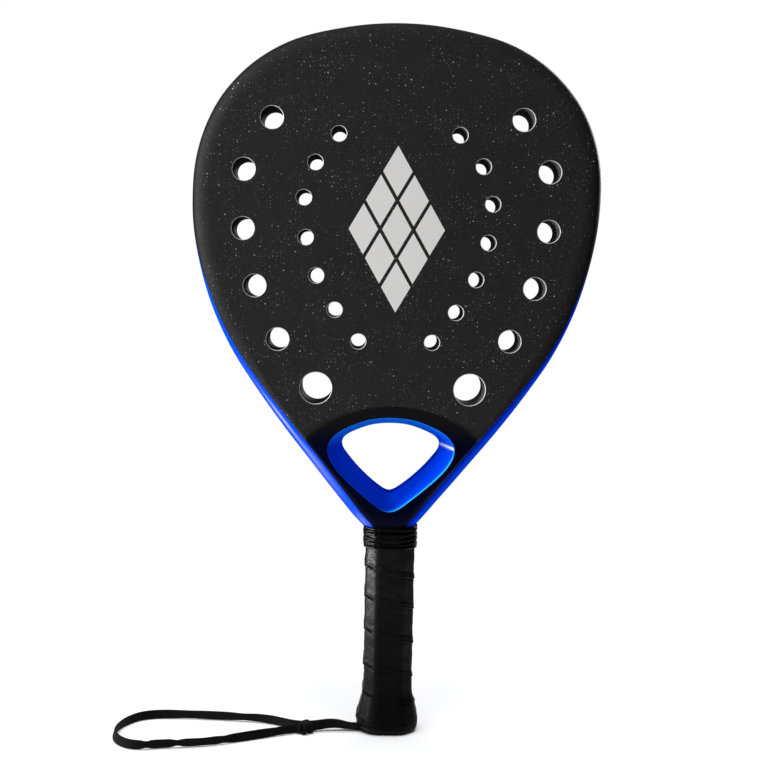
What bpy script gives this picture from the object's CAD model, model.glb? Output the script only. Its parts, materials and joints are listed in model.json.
import bpy, bmesh, math, json
import numpy as np
from mathutils import Vector, Matrix
from mathutils.geometry import delaunay_2d_cdt

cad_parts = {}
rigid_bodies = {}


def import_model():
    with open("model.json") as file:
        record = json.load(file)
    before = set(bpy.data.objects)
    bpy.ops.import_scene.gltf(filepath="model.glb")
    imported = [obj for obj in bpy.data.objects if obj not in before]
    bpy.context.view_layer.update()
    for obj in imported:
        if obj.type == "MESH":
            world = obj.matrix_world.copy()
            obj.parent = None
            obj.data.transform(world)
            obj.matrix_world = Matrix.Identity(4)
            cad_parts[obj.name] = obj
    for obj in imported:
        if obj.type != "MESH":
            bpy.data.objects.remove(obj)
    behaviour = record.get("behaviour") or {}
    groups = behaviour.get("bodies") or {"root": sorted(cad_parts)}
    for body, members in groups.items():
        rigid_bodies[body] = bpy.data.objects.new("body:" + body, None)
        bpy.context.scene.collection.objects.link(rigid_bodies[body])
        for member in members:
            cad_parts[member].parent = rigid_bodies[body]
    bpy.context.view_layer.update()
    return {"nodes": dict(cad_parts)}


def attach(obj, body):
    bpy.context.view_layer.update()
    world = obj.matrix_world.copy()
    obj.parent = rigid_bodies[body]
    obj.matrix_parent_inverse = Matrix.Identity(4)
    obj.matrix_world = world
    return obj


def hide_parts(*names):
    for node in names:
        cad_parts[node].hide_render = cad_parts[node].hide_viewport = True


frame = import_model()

MM = 0.001
scene = bpy.context.scene
rng = np.random.default_rng(7)

# ---------------------------------------------------------------- camera
# right, up and forward directions of the view
CAM_POS = (-0.01788, -0.88494, 0.29444)
RIGHT = Vector((0.999747, -0.012061, 0.018986))
UP = Vector((-0.018004, 0.076942, 0.996873))
FWD = Vector((0.013484, 0.996963, -0.076705))
cam_data = bpy.data.cameras.new("view_camera")
cam = bpy.data.objects.new("view_camera", cam_data)
scene.collection.objects.link(cam)
cam_data.sensor_width = 36.0
cam_data.lens = 1376.54 / 768.0 * 36.0
cam_data.clip_start = 0.01
cam_data.clip_end = 60.0
m = Matrix((RIGHT, UP, -FWD)).transposed().to_4x4()
m.translation = Vector(CAM_POS)
cam.matrix_world = m
scene.camera = cam


# ---------------------------------------------------------------- mesh helpers
def new_mesh(name, verts, faces, smooth=True, mat=None, body="root", sharp=None):
    me = bpy.data.meshes.new(name)
    me.from_pydata([tuple(v) for v in verts], [], faces)
    me.validate()
    me.update()
    if smooth:
        me.polygons.foreach_set("use_smooth", [True] * len(me.polygons))
        if sharp:
            me.set_sharp_from_angle(angle=math.radians(sharp))
    ob = bpy.data.objects.new(name, me)
    scene.collection.objects.link(ob)
    if mat:
        me.materials.append(mat)
    if body:
        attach(ob, body)
    return ob


def grid_faces(nu, nv, closed_u=False, closed_v=False, flip=False, base=0):
    """Quads of a grid whose vertex (i, j) is number base + i * nv + j."""
    out = []
    for i in range(nu if closed_u else nu - 1):
        for j in range(nv if closed_v else nv - 1):
            a = base + i * nv + j
            b = base + ((i + 1) % nu) * nv + j
            c = base + ((i + 1) % nu) * nv + (j + 1) % nv
            d = base + i * nv + (j + 1) % nv
            out.append((a, d, c, b) if flip else (a, b, c, d))
    return out


def natural_spline(x, y):
    """Natural cubic spline through (x, y); returns a function."""
    x, y = np.asarray(x, float), np.asarray(y, float)
    n = len(x)
    h = np.diff(x)
    A = np.zeros((n, n))
    b = np.zeros((n,) + y.shape[1:])
    A[0, 0] = A[-1, -1] = 1
    for i in range(1, n - 1):
        A[i, i - 1], A[i, i], A[i, i + 1] = h[i - 1], 2 * (h[i - 1] + h[i]), h[i]
        b[i] = 6 * ((y[i + 1] - y[i]) / h[i] - (y[i] - y[i - 1]) / h[i - 1])
    M = np.linalg.solve(A, b)

    def f(t):
        t = np.atleast_1d(np.asarray(t, float))
        k = np.clip(np.searchsorted(x, t) - 1, 0, n - 2)
        if y.ndim == 2:
            hk, dt0, dt1 = h[k][:, None], (t - x[k])[:, None], (x[k + 1] - t)[:, None]
        else:
            hk, dt0, dt1 = h[k], t - x[k], x[k + 1] - t
        return (M[k] * dt1 ** 3 + M[k + 1] * dt0 ** 3) / (6 * hk) + (y[k] / hk - M[k] * hk / 6) * dt1 + \
               (y[k + 1] / hk - M[k + 1] * hk / 6) * dt0
    return f


def periodic_spline(pts, n):
    """n points evenly spaced along a smooth closed curve through pts, and their place along it."""
    p = np.asarray(pts, float)
    m_ = len(p)
    ext = np.vstack([p[-4:], p, p[:5]])
    d = np.concatenate([[0], np.cumsum(np.linalg.norm(np.diff(ext, axis=0), axis=1))])
    f = natural_spline(d, ext)
    a, b = d[4], d[4 + m_]
    t = np.linspace(a, b, 4000, endpoint=False)
    q = f(t)
    s = np.concatenate([[0], np.cumsum(np.linalg.norm(np.diff(np.vstack([q, q[:1]]), axis=0), axis=1))])
    want = np.linspace(0, s[-1], n, endpoint=False)
    tt = np.interp(want, s, np.append(t, b))
    return f(tt), (tt - a) / (b - a)


def resample(p, n):
    s = np.concatenate([[0], np.cumsum(np.linalg.norm(np.diff(p, axis=0), axis=1))])
    w = np.linspace(0, s[-1], n)
    return np.stack([np.interp(w, s, p[:, k]) for k in range(p.shape[1])], 1)


# ---------------------------------------------------------------- node-based materials
def tree(name):
    mat = bpy.data.materials.new(name)
    mat.use_nodes = True
    nt = mat.node_tree
    nt.nodes.clear()
    out = nt.nodes.new("ShaderNodeOutputMaterial")
    bs = nt.nodes.new("ShaderNodeBsdfPrincipled")
    nt.links.new(bs.outputs[0], out.inputs[0])
    return mat, nt, bs


class N:
    """Small helper that wires nodes of one material."""

    def __init__(self, nt):
        self.nt = nt
        self.tc = nt.nodes.new("ShaderNodeTexCoord")

    def node(self, kind, **kw):
        n = self.nt.nodes.new(kind)
        for k, v in kw.items():
            if k.startswith("in_"):
                key = k[3:]
                key = int(key) if key.isdigit() else key.replace("_", " ")
                if hasattr(v, "is_linked") or hasattr(v, "links"):
                    self.nt.links.new(v, n.inputs[key])
                else:
                    n.inputs[key].default_value = v
            else:
                setattr(n, k, v)
        return n

    def obj(self):
        return self.tc.outputs["Object"]

    def uv(self):
        return self.tc.outputs["UV"]

    def noise(self, scale, detail=3.0, rough=0.5, vec=None, **kw):
        return self.node("ShaderNodeTexNoise", in_Vector=vec or self.obj(), in_Scale=scale, in_Detail=detail,
                         in_Roughness=rough, **kw).outputs["Fac"]

    def ramp(self, fac, stops, interp="LINEAR"):
        n = self.node("ShaderNodeValToRGB", in_Fac=fac)
        n.color_ramp.interpolation = interp
        e = n.color_ramp.elements
        while len(e) > 1:
            e.remove(e[-1])
        e[0].position, e[0].color = stops[0][0], self._c(stops[0][1])
        for p, c in stops[1:]:
            k = e.new(p)
            k.color = self._c(c)
        return n.outputs["Color"]

    @staticmethod
    def _c(c):
        if isinstance(c, (int, float)):
            return (c, c, c, 1.0)
        return tuple(c) + ((1.0,) if len(c) == 3 else ())

    def math(self, op, a, b=None, clamp=False):
        n = self.node("ShaderNodeMath", operation=op, use_clamp=clamp)
        for i, v in enumerate((a, b)):
            if v is None:
                continue
            if hasattr(v, "links"):
                self.nt.links.new(v, n.inputs[i])
            else:
                n.inputs[i].default_value = v
        return n.outputs[0]

    def mix(self, fac, a, b):
        n = self.node("ShaderNodeMix", data_type="RGBA")
        for key, v in ((0, fac), (6, a), (7, b)):
            if hasattr(v, "links"):
                self.nt.links.new(v, n.inputs[key])
            else:
                n.inputs[key].default_value = v if key == 0 else self._c(v)
        return n.outputs[2]

    def span(self, v, a, b, lo=0.0, hi=1.0, smooth=True):
        """v taken from the range a..b to lo..hi, clamped, with an eased ramp."""
        n = self.node("ShaderNodeMapRange")
        n.interpolation_type = "SMOOTHSTEP" if smooth else "LINEAR"
        self.nt.links.new(v, n.inputs[0])
        for i, q in zip((1, 2, 3, 4), (a, b, lo, hi)):
            n.inputs[i].default_value = q
        return n.outputs[0]

    def bump(self, height, strength=0.3, distance=0.001, normal=None):
        kw = dict(in_Height=height, in_Strength=strength, in_Distance=distance)
        n = self.node("ShaderNodeBump", **kw)
        if normal is not None:
            self.nt.links.new(normal, n.inputs["Normal"])
        return n.outputs["Normal"]

    def set(self, bs, key, v):
        if hasattr(v, "links"):
            self.nt.links.new(v, bs.inputs[key])
        else:
            bs.inputs[key].default_value = v


def lacquer_blue(name, gloss, lined):
    """Saturated blue with a fine pigment fleck.  The liner's edges thin out to azure along `edge` and
    its paint is deeper where `deep` says; the flank is polished to a pale gloss along `glint`."""
    mat, nt, bs = tree(name)
    n = N(nt)
    fleck = n.noise(1500.0, 2.0, 0.6)
    cloud = n.noise(30.0, 2.0, 0.5)
    col = n.mix(cloud, (0.0, 0.052, 0.84), (0.0, 0.066, 0.92))
    col = n.mix(n.ramp(fleck, [(0.62, 0.0), (0.75, 0.30)]), col, (0.0, 0.10, 0.97))
    if lined:
        edge = n.node("ShaderNodeAttribute", attribute_name="edge").outputs["Fac"]
        deep = n.node("ShaderNodeAttribute", attribute_name="deep").outputs["Fac"]
        col = n.mix(deep, col, (0.0, 0.006, 0.22))
        col = n.mix(edge, col, (0.03, 0.56, 1.0))
        glint = n.node("ShaderNodeAttribute", attribute_name="glint").outputs["Fac"]
        col = n.mix(glint, col, (0.90, 0.95, 1.0))
    else:
        glint = n.node("ShaderNodeAttribute", attribute_name="glint").outputs["Fac"]
        deep = n.node("ShaderNodeAttribute", attribute_name="deep").outputs["Fac"]
        col = n.mix(deep, col, (0.0, 0.010, 0.40))
        col = n.mix(glint, col, (0.66, 0.70, 1.0))
        n.set(bs, "Coat Weight", glint)
        bs.inputs["Coat Roughness"].default_value = 0.25
    n.set(bs, "Base Color", col)
    n.set(bs, "Roughness", n.ramp(fleck, [(0.3, 0.22), (0.8, 0.30)]))
    bs.inputs["Specular IOR Level"].default_value = gloss
    n.set(bs, "Normal", n.bump(cloud, 0.04, 0.002))
    return mat


def black_coat(name):
    """Black paint of the racket.  Gritty with pale glitter flakes over the faces, satin towards the
    outer edge, smooth and glossy with a navy cast below the arc over the throat."""
    mat, nt, bs = tree(name)
    n = N(nt)
    sep = n.node("ShaderNodeSeparateXYZ", in_Vector=n.obj())
    X, Z = sep.outputs["X"], sep.outputs["Z"]
    flat = n.node("ShaderNodeCombineXYZ", in_X=X, in_Y=Z).outputs[0]
    inset = n.node("ShaderNodeAttribute", attribute_name="inset").outputs["Fac"]
    dz = n.math("SUBTRACT", Z, 0.1341)
    dist = n.math("SQRT", n.math("ADD", n.math("MULTIPLY", X, X), n.math("MULTIPLY", dz, dz)))
    wob = n.math("MULTIPLY", n.math("SUBTRACT", n.noise(700.0, 3.0, 0.7), 0.5), 0.0016)
    d2 = n.math("ADD", dist, wob)
    side = n.math("ABSOLUTE", X, 0.0)
    fade_w = n.math("ADD", n.math("MULTIPLY", n.span(side, 0.018, 0.056), 0.0040), 0.0008)
    over_arc = n.math("DIVIDE", n.math("SUBTRACT", d2, 0.0792), fade_w, clamp=True)
    off_edge = n.span(inset, 1.2, 6.5)
    rough_m = n.math("MULTIPLY", over_arc, off_edge)
    throat = n.span(dist, 0.0815, 0.0775)
    # flakes
    masks = []
    for scale, size, keep, power, level in ((430.0, 0.064, 0.66, 2.0, 1.5), (270.0, 0.066, 0.90, 0.9, 2.2),
                                            (1000.0, 0.12, 0.62, 2.0, 0.50)):
        v = n.node("ShaderNodeTexVoronoi", in_Vector=flat, in_Scale=scale, in_Randomness=1.0)
        v.voronoi_dimensions = "2D"
        v.feature = "F1"
        spot = n.ramp(v.outputs["Distance"], [(0.0, 1.0), (size, 1.0), (size + 0.022, 0.0)])
        sc = n.node("ShaderNodeSeparateColor", in_Color=v.outputs["Color"])
        pick = n.math("GREATER_THAN", sc.outputs[0], keep)
        bright = n.math("MULTIPLY", n.math("POWER", sc.outputs[1], power), level)
        masks.append(n.math("MULTIPLY", n.math("MULTIPLY", spot, pick), bright))
    glit = n.math("ADD", n.math("ADD", masks[0], masks[1]), masks[2], clamp=True)
    patch = n.ramp(n.noise(55.0, 3.0, 0.6), [(0.40, 0.06), (0.62, 1.0)])
    near_arc = n.math("MULTIPLY", n.span(d2, 0.0794, 0.0799), n.span(d2, 0.0812, 0.0800))
    patch = n.math("ADD", patch, n.math("MULTIPLY", near_arc, 0.8), clamp=True)
    glit = n.math("MULTIPLY", n.math("MULTIPLY", glit, patch), rough_m)
    grit = n.noise(1400.0, 4.0, 0.65)
    mott = n.noise(60.0, 5.0, 0.6)
    rough_c = n.mix(mott, (0.0140, 0.0140, 0.0142), (0.0225, 0.0225, 0.0225))
    rough_c = n.mix(n.ramp(grit, [(0.5, 0.0), (0.75, 0.5)]), rough_c, (0.034, 0.034, 0.034))
    cloud = n.noise(22.0, 3.0, 0.5)
    satin_c = n.mix(cloud, (0.0070, 0.0070, 0.0073), (0.0105, 0.0105, 0.0108))
    navy_c = n.mix(cloud, (0.0008, 0.0014, 0.0100), (0.0018, 0.0028, 0.0170))
    navy_c = n.mix(n.span(Z, 0.186, 0.206), navy_c, (0.0088, 0.0088, 0.0100))
    smooth_c = n.mix(throat, satin_c, navy_c)
    col = n.mix(rough_m, smooth_c, rough_c)
    n.set(bs, "Base Color", n.mix(glit, col, (0.85, 0.85, 0.83)))
    fine = n.noise(900.0, 4.0, 0.6)
    r_satin = n.ramp(fine, [(0.3, 0.40), (0.7, 0.50)])
    r_smooth = n.mix(n.math("MULTIPLY", throat, off_edge), r_satin, 0.20)
    r_rough = n.ramp(grit, [(0.3, 0.60), (0.7, 0.78)])
    n.set(bs, "Roughness", n.mix(glit, n.mix(rough_m, r_smooth, r_rough), 0.35))
    n.set(bs, "Coat Weight", n.math("MULTIPLY", n.math("MULTIPLY", throat, off_edge), 0.04))
    bs.inputs["Coat Roughness"].default_value = 0.08
    n.set(bs, "Specular IOR Level", n.math("ADD", n.math("MULTIPLY", throat, -0.09), 0.10))
    h = n.math("ADD", n.math("MULTIPLY", grit, 0.8), n.math("MULTIPLY", glit, 0.6))
    h = n.math("ADD", n.math("MULTIPLY", h, rough_m), n.math("MULTIPLY", fine, 0.12))
    h = n.math("ADD", h, n.math("MULTIPLY", over_arc, 0.25))
    n.set(bs, "Normal", n.bump(h, 0.40, 0.0005))
    return mat


def cut_foam():
    """Walls of the drilled holes: dense dark foam with fine open cells."""
    mat, nt, bs = tree("cut_foam")
    n = N(nt)
    v = n.node("ShaderNodeTexVoronoi", in_Vector=n.obj(), in_Scale=1100.0)
    cells = n.ramp(v.outputs["Distance"], [(0.15, 0.0), (0.55, 1.0)])
    cloud = n.noise(160.0, 3.0, 0.6)
    col = n.mix(cells, (0.003, 0.003, 0.003), (0.022, 0.022, 0.023))
    col = n.mix(cloud, col, (0.012, 0.012, 0.0125))
    # pale dust of the drilling has stayed in the holes on one side
    X = n.node("ShaderNodeSeparateXYZ", in_Vector=n.obj()).outputs["X"]
    dust = n.mix(n.ramp(n.noise(900.0, 3.0, 0.7), [(0.42, 0.0), (0.62, 1.0)]), (0.020, 0.020, 0.021), (0.22, 0.22, 0.22))
    n.set(bs, "Base Color", n.mix(n.math("MULTIPLY", n.span(X, -0.02, 0.06), 0.75), col, dust))
    bs.inputs["Specular IOR Level"].default_value = 0.2
    n.set(bs, "Roughness", n.ramp(cells, [(0.0, 0.85), (1.0, 0.55)]))
    n.set(bs, "Normal", n.bump(cells, 0.5, 0.0003))
    return mat


def hole_rim():
    """Chamfer that the drill leaves in the laminate: grey exposed resin and fibre."""
    mat, nt, bs = tree("hole_rim")
    n = N(nt)
    f = n.noise(1800.0, 3.0, 0.6)
    n.set(bs, "Base Color", n.mix(f, (0.34, 0.34, 0.34), (0.85, 0.85, 0.84)))
    n.set(bs, "Roughness", n.ramp(f, [(0.3, 0.28), (0.7, 0.50)]))
    n.set(bs, "Normal", n.bump(f, 0.25, 0.0003))
    return mat


def film():
    mat, nt, bs = tree("emblem_film")
    n = N(nt)
    f = n.noise(1300.0, 4.0, 0.65)
    g = n.noise(40.0, 3.0, 0.5)
    c = n.mix(g, (0.855, 0.850, 0.835), (0.910, 0.905, 0.895))
    n.set(bs, "Base Color", n.mix(n.ramp(f, [(0.4, 0.0), (0.8, 0.5)]), c, (0.775, 0.770, 0.760)))
    n.set(bs, "Roughness", n.ramp(f, [(0.3, 0.45), (0.7, 0.58)]))
    n.set(bs, "Normal", n.bump(f, 0.18, 0.0004))
    return mat


def grip_tape():
    """Tacky black overgrip: fine leather-like pores, worn a little greyer on the high spots."""
    mat, nt, bs = tree("grip_tape")
    n = N(nt)
    v = n.node("ShaderNodeTexVoronoi", in_Vector=n.obj(), in_Scale=1250.0)
    pore = n.ramp(v.outputs["Distance"], [(0.1, 0.0), (0.5, 1.0)])
    cloud = n.noise(75.0, 4.0, 0.6)
    streak = n.noise(260.0, 3.0, 0.6)
    c = n.mix(cloud, (0.0012, 0.0012, 0.0013), (0.0030, 0.0030, 0.0031))
    c = n.mix(n.math("MULTIPLY", pore, 0.4), c, (0.0060, 0.0060, 0.0059))
    n.set(bs, "Base Color", c)
    n.set(bs, "Roughness", n.ramp(streak, [(0.3, 0.30), (0.7, 0.46)]))
    # worn dull towards the butt, where the hand rubs it
    Z = n.node("ShaderNodeSeparateXYZ", in_Vector=n.obj()).outputs["Z"]
    worn = n.math("ADD", n.math("MULTIPLY", n.span(Z, 0.018, 0.062), 0.040), 0.022)
    n.set(bs, "Specular IOR Level", n.math("ADD", worn, n.math("MULTIPLY", n.span(Z, 0.055, 0.115), 0.095)))
    h = n.math("ADD", n.math("MULTIPLY", pore, 0.45), n.math("MULTIPLY", streak, 1.1))
    n.set(bs, "Normal", n.bump(h, 0.36, 0.0006))
    return mat


def soft_rubber(name, lo, hi, r0, r1):
    mat, nt, bs = tree(name)
    n = N(nt)
    f = n.noise(420.0, 4.0, 0.6)
    g = n.noise(1700.0, 2.0, 0.5)
    n.set(bs, "Base Color", n.mix(f, lo, hi))
    n.set(bs, "Roughness", n.ramp(f, [(0.3, r0), (0.7, r1)]))
    bs.inputs["Specular IOR Level"].default_value = 0.06
    n.set(bs, "Normal", n.bump(n.math("ADD", f, n.math("MULTIPLY", g, 0.4)), 0.22, 0.0005))
    return mat


def moulded(name, lo, hi, r0, r1):
    mat, nt, bs = tree(name)
    n = N(nt)
    f = n.noise(1100.0, 3.0, 0.55)
    g = n.noise(35.0, 2.0, 0.5)
    n.set(bs, "Base Color", n.mix(g, lo, hi))
    n.set(bs, "Roughness", n.ramp(f, [(0.35, r0), (0.65, r1)]))
    bs.inputs["Specular IOR Level"].default_value = 0.08
    n.set(bs, "Normal", n.bump(f, 0.18, 0.0003))
    return mat


def webbing():
    """Tight weave read along the strap: the UV runs in millimetres along and across the webbing."""
    mat, nt, bs = tree("strap_webbing")
    n = N(nt)
    sep = n.node("ShaderNodeSeparateXYZ", in_Vector=n.uv())
    u, w = sep.outputs["X"], sep.outputs["Y"]
    k = 2 * math.pi
    warp = n.math("SINE", n.math("MULTIPLY", w, k / 0.75))
    weft = n.math("SINE", n.math("MULTIPLY", n.math("ADD", u, n.math("MULTIPLY", n.math("SIGN", warp), 0.3)), k / 1.2))
    weave = n.math("MULTIPLY", n.math("ABSOLUTE", warp), n.math("ADD", n.math("MULTIPLY", weft, 0.4), 0.6))
    fuzz = n.noise(2400.0, 3.0, 0.6)
    c = n.mix(weave, (0.0008, 0.0008, 0.0009), (0.0042, 0.0042, 0.0045))
    n.set(bs, "Base Color", n.mix(n.math("MULTIPLY", fuzz, 0.35), c, (0.0050, 0.0050, 0.0053)))
    n.set(bs, "Roughness", n.ramp(weave, [(0.0, 0.92), (1.0, 0.66)]))
    bs.inputs["Specular IOR Level"].default_value = 0.08
    bs.inputs["Sheen Weight"].default_value = 0.02
    bs.inputs["Sheen Roughness"].default_value = 0.5
    n.set(bs, "Normal", n.bump(n.math("ADD", weave, n.math("MULTIPLY", fuzz, 0.3)), 0.55, 0.00035))
    return mat


MAT = dict(black=black_coat("black_paint"), blue=lacquer_blue("lacquer_blue", 0.0, False), liner=lacquer_blue("liner_blue", 0.0, True), face=black_coat("face_paint"), foam=cut_foam(), rim=hole_rim(), film=film(),
           tape=grip_tape(), webbing=webbing(),
           collar=soft_rubber("collar_rubber", (0.0008, 0.0008, 0.0008), (0.0020, 0.0020, 0.0020), 0.14, 0.28),
           cushion=soft_rubber("cushion_rubber", (0.012, 0.012, 0.012), (0.03, 0.03, 0.03), 0.6, 0.8),
           cap=moulded("cap_plastic", (0.0010, 0.0010, 0.0010), (0.0026, 0.0026, 0.0026), 0.34, 0.50),
           shell=moulded("handle_shell", (0.030, 0.030, 0.032), (0.055, 0.055, 0.06), 0.45, 0.6),
           closing=moulded("closing_tape", (0.010, 0.010, 0.010), (0.02, 0.02, 0.02), 0.3, 0.45),
           steel=moulded("staple_steel", (0.50, 0.50, 0.50), (0.62, 0.62, 0.62), 0.25, 0.40))
MAT["steel"].node_tree.nodes["Principled BSDF"].inputs["Metallic"].default_value = 1.0

# ---------------------------------------------------------------- wrist strap
# The webbing's route on its edge, in millimetres, at mid height of the webbing.  It leaves the cap,
# passes the knot, runs round the loop and comes back beside itself.
STRAP_W, STRAP_T = 6.0, 1.4
ROUTE = [(-5.0, -5.8, 3.2), (-23.0, -6.4, 2.6), (-34.5, -6.8, 5.4), (-50.0, -9.4, 3.7), (-62.0, -6.4, 3.2),
         (-78.0, 5.4, 3.2), (-104.0, 8.8, 3.2), (-135.0, 12.0, 3.2), (-160.0, 9.8, 3.2), (-171.0, -5.4, 3.2),
         (-174.8, -24.0, 3.2), (-169.6, -41.0, 3.2), (-157.0, -51.2, 3.2), (-138.5, -46.4, 3.2),
         (-112.0, -42.0, 3.2), (-85.0, -28.4, 3.2), (-64.0, -16.8, 3.2), (-47.5, -11.2, 3.7), (-34.0, -8.7, 5.4),
         (-22.0, -8.4, 2.6), (-5.0, -8.2, 3.2)]


def nurbs_line(name, pts, steps=24):
    cu = bpy.data.curves.new(name, "CURVE")
    cu.dimensions = "3D"
    sp = cu.splines.new("NURBS")
    sp.points.add(len(pts) - 1)
    for q, p in zip(sp.points, pts):
        q.co = (p[0] * MM, p[1] * MM, p[2] * MM, 1.0)
    sp.order_u = 3
    sp.use_endpoint_u = True
    cu.resolution_u = steps
    ob = bpy.data.objects.new(name, cu)
    scene.collection.objects.link(ob)
    dg = bpy.context.evaluated_depsgraph_get()
    me = bpy.data.meshes.new_from_object(ob.evaluated_get(dg))
    out = np.array([v.co[:] for v in me.vertices])
    bpy.data.meshes.remove(me)
    bpy.data.objects.remove(ob)
    bpy.data.curves.remove(cu)
    return out


strap_line = nurbs_line("strap_route", ROUTE)
line = resample(strap_line, 620) / MM
seg = np.concatenate([[0], np.cumsum(np.linalg.norm(np.diff(line, axis=0), axis=1))])
tan = np.gradient(line, axis=0)
tan /= np.linalg.norm(tan, axis=1)[:, None]
upv = np.array([0.0, 0.0, 1.0])
side = np.cross(upv, tan)
side /= np.linalg.norm(side, axis=1)[:, None]
up2 = np.cross(tan, side)
total = seg[-1]
# the webbing leans and twists a little as it lies: lean in degrees against distance along it
LEAN = [(0, 4), (9, 30), (20, 32), (30, 6), (45, 8), (62, 0), (85, 16), (115, 6), (150, -4), (178, 10), (200, 16), (222, 6), (240, -12),
        (258, -22), (276, -8), (300, 12), (322, 4), (340, -6), (354, -6), (364, -32), (375, -30), (384, -4), (400, 0)]
lean = np.radians(np.interp(seg * (383.0 / total), [a for a, _ in LEAN], [b for _, b in LEAN]))
k = np.ones(25) / 25.0
lean = np.convolve(np.pad(lean, 12, mode="edge"), k, mode="valid")
ca, sa = np.cos(lean)[:, None], np.sin(lean)[:, None]
wide = up2 * ca + side * sa            # across the webbing's width
thin = side * ca - up2 * sa            # through its thickness
# section: long flat faces with shallow lengthwise ribs, rounded selvedges
sec = []
ribs = 29
hw, ht = STRAP_W / 2, STRAP_T / 2
for i in range(ribs):
    a = -1 + 2 * i / (ribs - 1)
    t = ht * (1 - 0.55 * abs(a) ** 9) + 0.045 * math.cos(a * 8 * math.pi)
    sec.append((a * (hw - 0.12), t))
sec.append((hw, 0.0))
for i in range(ribs):
    a = 1 - 2 * i / (ribs - 1)
    t = ht * (1 - 0.55 * abs(a) ** 9) + 0.045 * math.cos(a * 8 * math.pi)
    sec.append((a * (hw - 0.12), -t))
sec.append((-hw, 0.0))
sec = np.array(sec)
ns = len(sec)
wob = 0.10 * np.sin(seg / 9.0) + 0.06 * np.sin(seg / 3.7 + 1.0)
# creases where the webbing was folded before
pinch = np.zeros(len(seg))
for d_, p_, w_ in ((17.0, 0.12, 6.0), (367.0, 0.12, 6.0), (92.0, 0.16, 7.0), (128.0, 0.10, 9.0), (232.0, 0.28, 2.6), (251.0, 0.32, 3.0), (268.0, 0.10, 6.0),
                   (280.0, 0.20, 4.0), (318.0, 0.10, 8.0)):
    pinch += p_ * np.exp(-((seg * (383.0 / total) - d_) / w_) ** 2)
V_ = []
for i in range(len(line)):
    c = line[i] + thin[i] * wob[i] * 0.5
    ring = c + wide[i] * sec[:, :1] * (1.0 - pinch[i]) + thin[i] * sec[:, 1:] * (1.0 + 0.5 * pinch[i])
    lift = max(0.0, 0.05 - ring[:, 2].min())
    ring[:, 2] += lift
    V_.append(ring)
V_ = np.vstack(V_) * MM
faces = grid_faces(len(line), ns, closed_v=True, flip=True)
c0, c1 = len(V_), len(V_) + 1
V_ = np.vstack([V_, line[0] * MM, line[-1] * MM])
for j in range(ns):
    faces.append((c0, j, (j + 1) % ns))
    b = (len(line) - 1) * ns
    faces.append((c1, b + (j + 1) % ns, b + j))
strap = new_mesh("wrist_strap_webbing", V_, faces, mat=MAT["webbing"], sharp=50)
uvl = strap.data.uv_layers.new(name="weave")
across = np.concatenate([[0], np.cumsum(np.linalg.norm(np.diff(sec, axis=0), axis=1))])
for p in strap.data.polygons:
    vs = [strap.data.loops[li].vertex_index for li in p.loop_indices]
    for li, vi in zip(p.loop_indices, vs):
        if vi >= c0:
            uvl.data[li].uv = (0.0, 0.0)
        else:
            i, j = divmod(vi, ns)
            a = across[j]
            if j == 0 and any((q < c0 and q % ns == ns - 1) for q in vs):
                a = across[-1] + 0.25
            uvl.data[li].uv = (seg[i], a)
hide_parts("wrist_strap")


# ---------------------------------------------------------------- knots of the strap
def band_loop(centre, tilt, ry, rz, width, thick, n=84, roll=0.0, squash=0.0):
    """Closed wrap of webbing round the plies: an oval in a tilted plane with a rounded flat section."""
    verts = []
    ct, st = math.cos(math.radians(tilt)), math.sin(math.radians(tilt))
    m_ = 20
    for i in range(n):
        a = 2 * math.pi * i / n
        # superellipse: flat where it lies on the faces of the plies
        e = 0.72
        cy, cz = math.cos(a), math.sin(a)
        y = ry * math.copysign(abs(cy) ** e, cy)
        z = rz * math.copysign(abs(cz) ** e, cz)
        ny, nz = cy / ry, cz / rz
        ln = math.hypot(ny, nz)
        ny, nz = ny / ln, nz / ln
        slide = roll * math.sin(a + 0.6)
        w_here = width * (1 - squash * (0.5 + 0.5 * math.cos(2 * a)))
        for j in range(m_):
            b = 2 * math.pi * j / m_
            u = 0.5 * w_here * math.copysign(abs(math.cos(b)) ** 0.45, math.cos(b))
            v = 0.5 * thick * math.copysign(abs(math.sin(b)) ** 0.7, math.sin(b)) + 0.05 * math.cos(u * 5.0)
            px, py, pz = u + slide, y + ny * v, z + nz * v
            verts.append((centre[0] + px * ct - py * st, centre[1] + px * st + py * ct, centre[2] + pz))
    return np.array(verts), grid_faces(n, m_, closed_u=True, closed_v=True)


parts_v, parts_f, base_i = [], [], 0
for args in (((-54.6, -11.4, 3.50), -22.0, 5.3, 2.90, 4.4, 1.35, 84, 0.6, 0.15),
             ((-51.2, -10.8, 3.50), 24.0, 5.1, 2.85, 4.2, 1.35, 84, -0.5, 0.12),
             ((-52.9, -11.8, 3.50), 6.0, 6.5, 3.10, 3.7, 1.5, 84, 1.1, 0.25)):
    v, f = band_loop(*args)
    v[:, 2] = np.maximum(v[:, 2], 0.06)
    parts_v.append(v)
    parts_f += [tuple(q + base_i for q in face) for face in f]
    base_i += len(v)
knot = new_mesh("strap_knot_wraps", np.vstack(parts_v) * MM, parts_f, mat=None, sharp=60)
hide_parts("strap_knot")


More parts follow.
